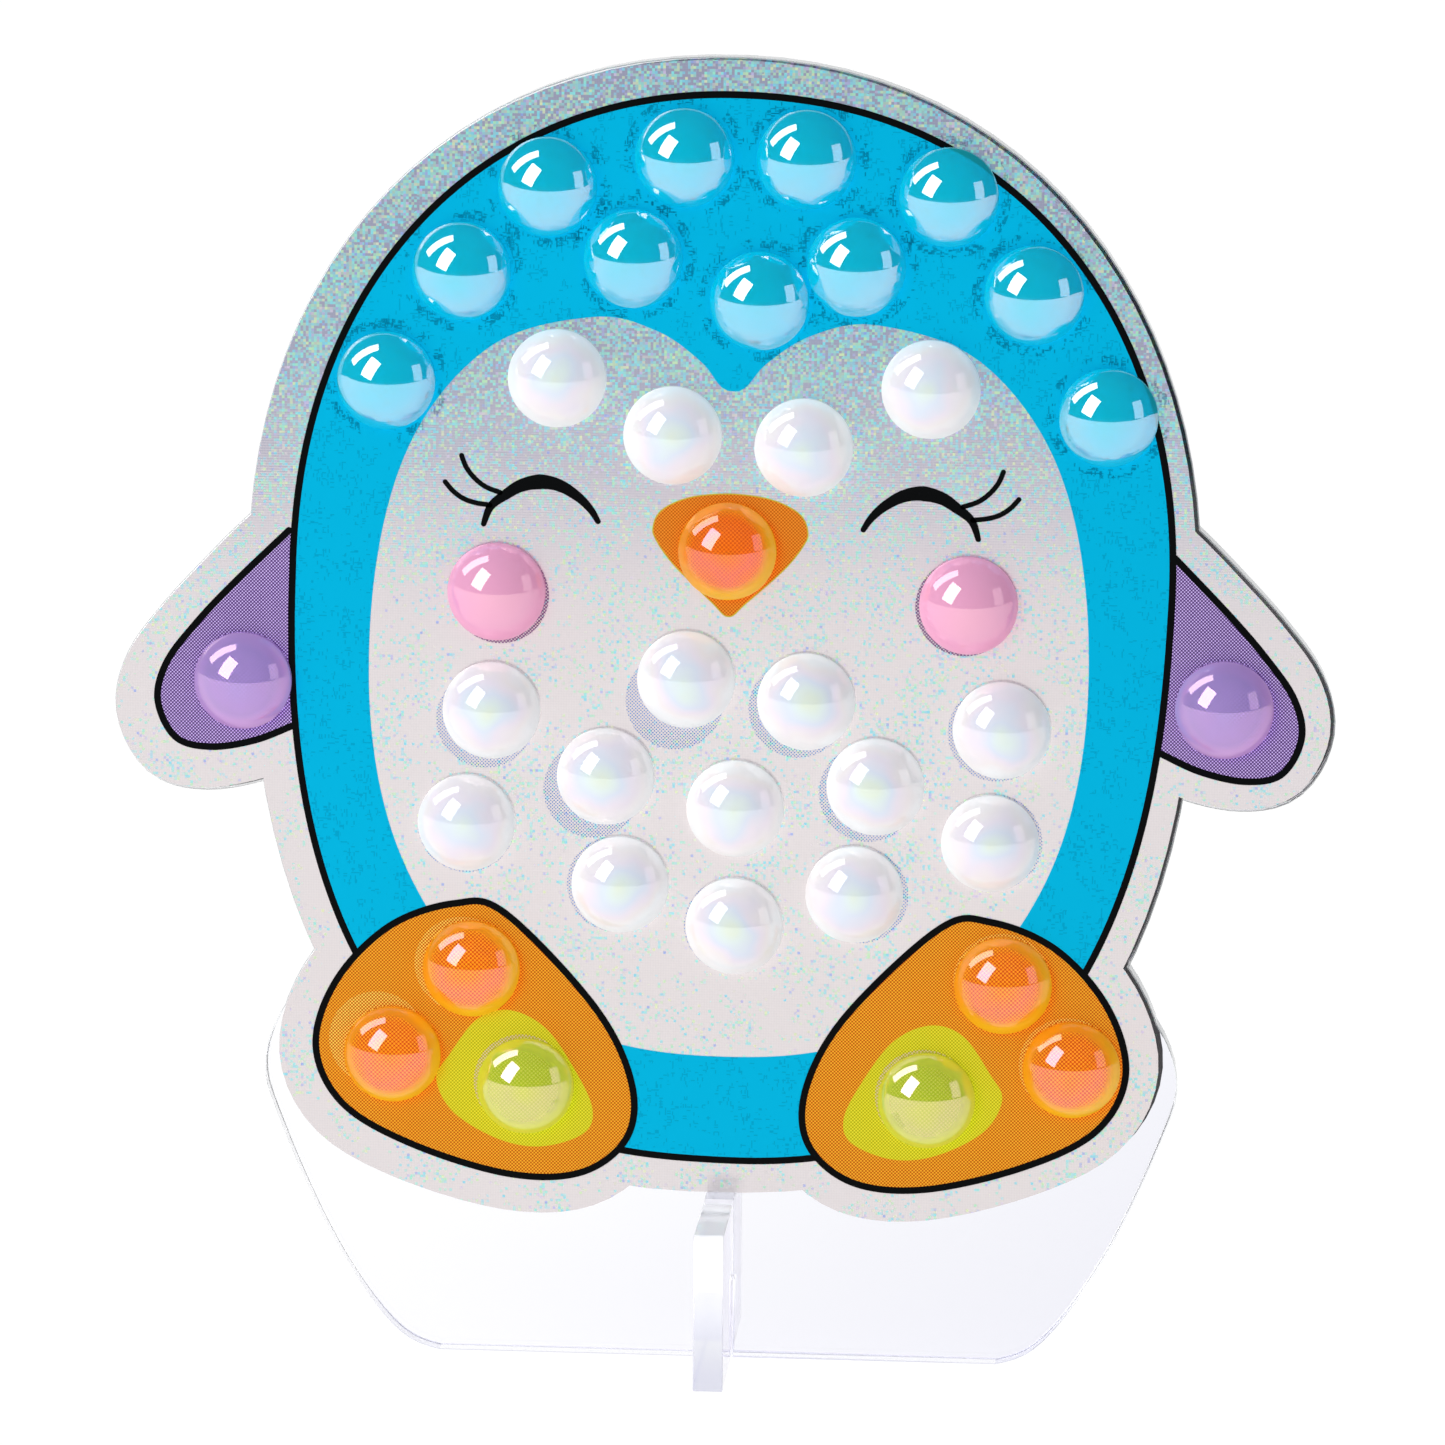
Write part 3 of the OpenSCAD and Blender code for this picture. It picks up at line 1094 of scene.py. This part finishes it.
def add_world(stage):
    """A white wall behind the board and a dim room in front of it. It is white all round
    to look at, and through the clear pieces."""
    world = bpy.data.worlds.new("studio")
    world.use_nodes = True
    studio = Nodes(world.node_tree)
    way = studio.axes(studio.node("ShaderNodeTexCoord").outputs["Generated"])[1]
    path = studio.node("ShaderNodeLightPath")
    seen = Value(studio, path.outputs["Is Camera Ray"]) + Value(
        studio, path.outputs["Is Transmission Ray"])
    lit = studio.blend(way.smooth(0.3, 0.7), stage.room, WHITE)
    studio.tree.links.new(studio.blend(seen, lit, WHITE),
                          studio.tree.nodes["Background"].inputs[0])
    bpy.context.scene.world = world


def add_lamps(aim):
    """Rectangular lamps a metre from the aim, each facing it."""
    for name, way, rise, width, height, power in LAMPS:
        lamp = bpy.data.lights.new(name, "AREA")
        lamp.shape, lamp.size, lamp.size_y, lamp.energy = "RECTANGLE", width, height, power
        holder = bpy.data.objects.new(name, lamp)
        toward = np.array(way) / np.linalg.norm(way)
        side = np.cross(rise, toward)
        side = side / np.linalg.norm(side)
        turn = Matrix(np.stack([side, np.cross(toward, side), toward], axis=1).tolist())
        holder.location = aim + toward
        holder.rotation_euler = turn.to_euler()
        holder.visible_glossy = name != UNREFLECTED
        bpy.context.scene.collection.objects.link(holder)


def look_at(direction):
    """The turn that points a camera's -Z along the direction, with its Y upwards."""
    return Vector(direction).to_track_quat("-Z", "Y").to_euler()


def add_camera(stage, aim):
    """The camera, at its distance from the aim and turned towards it."""
    camera = bpy.data.cameras.new("camera")
    camera.lens, camera.sensor_width = stage.lens, 36.0
    camera.clip_start = 0.01
    holder = bpy.data.objects.new("camera", camera)
    back = np.array([math.sin(stage.azimuth) * math.cos(stage.elevation),
                     -math.cos(stage.azimuth) * math.cos(stage.elevation),
                     math.sin(stage.elevation)])
    holder.location = aim + stage.distance * back
    turn = look_at(-back).to_matrix()
    holder.rotation_euler = (turn @ Matrix.Rotation(stage.roll, 3, "Z")).to_euler()
    bpy.context.scene.collection.objects.link(holder)
    bpy.context.scene.camera = holder


class STAND_OT_stage(bpy.types.Operator):
    """The pale floor, the soft lights and the camera."""

    bl_idname = "stand.stage"
    bl_label = "Stage"

    def execute(self, context):
        stage = settings()[2]
        context.scene.view_settings.view_transform = "Standard"
        aim = np.array([0, 0, stage.aim_height])
        add_floor(stage)
        add_world(stage)
        add_lamps(aim)
        add_camera(stage, aim)
        return {"FINISHED"}


# ---------------------------------------------------------------- add-on

OPERATORS = (
    STAND_OT_stage, STAND_OT_clear_sheet, STAND_OT_films, STAND_OT_inks, STAND_OT_lines,
    STAND_OT_marks, STAND_OT_glue, STAND_OT_gems,
)


class STAND_PT_panel(bpy.types.Panel):
    """The steps that build the stand, in order."""

    bl_idname = "STAND_PT_panel"
    bl_label = "Gem Art Stand"
    bl_space_type = "VIEW_3D"
    bl_region_type = "UI"
    bl_category = "Gem Stand"

    def draw(self, context):
        for operator in OPERATORS:
            self.layout.operator(operator.bl_idname)


GROUPS = {
    "stand_print": StandPrintSettings,
    "stand_colours": StandColourSettings,
    "stand_stage": StandStageSettings,
}
CLASSES = (*GROUPS.values(), *OPERATORS, STAND_PT_panel)


def register():
    for cls in CLASSES:
        bpy.utils.register_class(cls)
    for name, group in GROUPS.items():
        setattr(bpy.types.Scene, name, PointerProperty(type=group))


def unregister():
    for name in GROUPS:
        delattr(bpy.types.Scene, name)
    for cls in reversed(CLASSES):
        bpy.utils.unregister_class(cls)


def main():
    register()
    for operator in OPERATORS:
        group, name = operator.bl_idname.split(".")
        getattr(getattr(bpy.ops, group), name)()


if __name__ == "__main__":
    main()
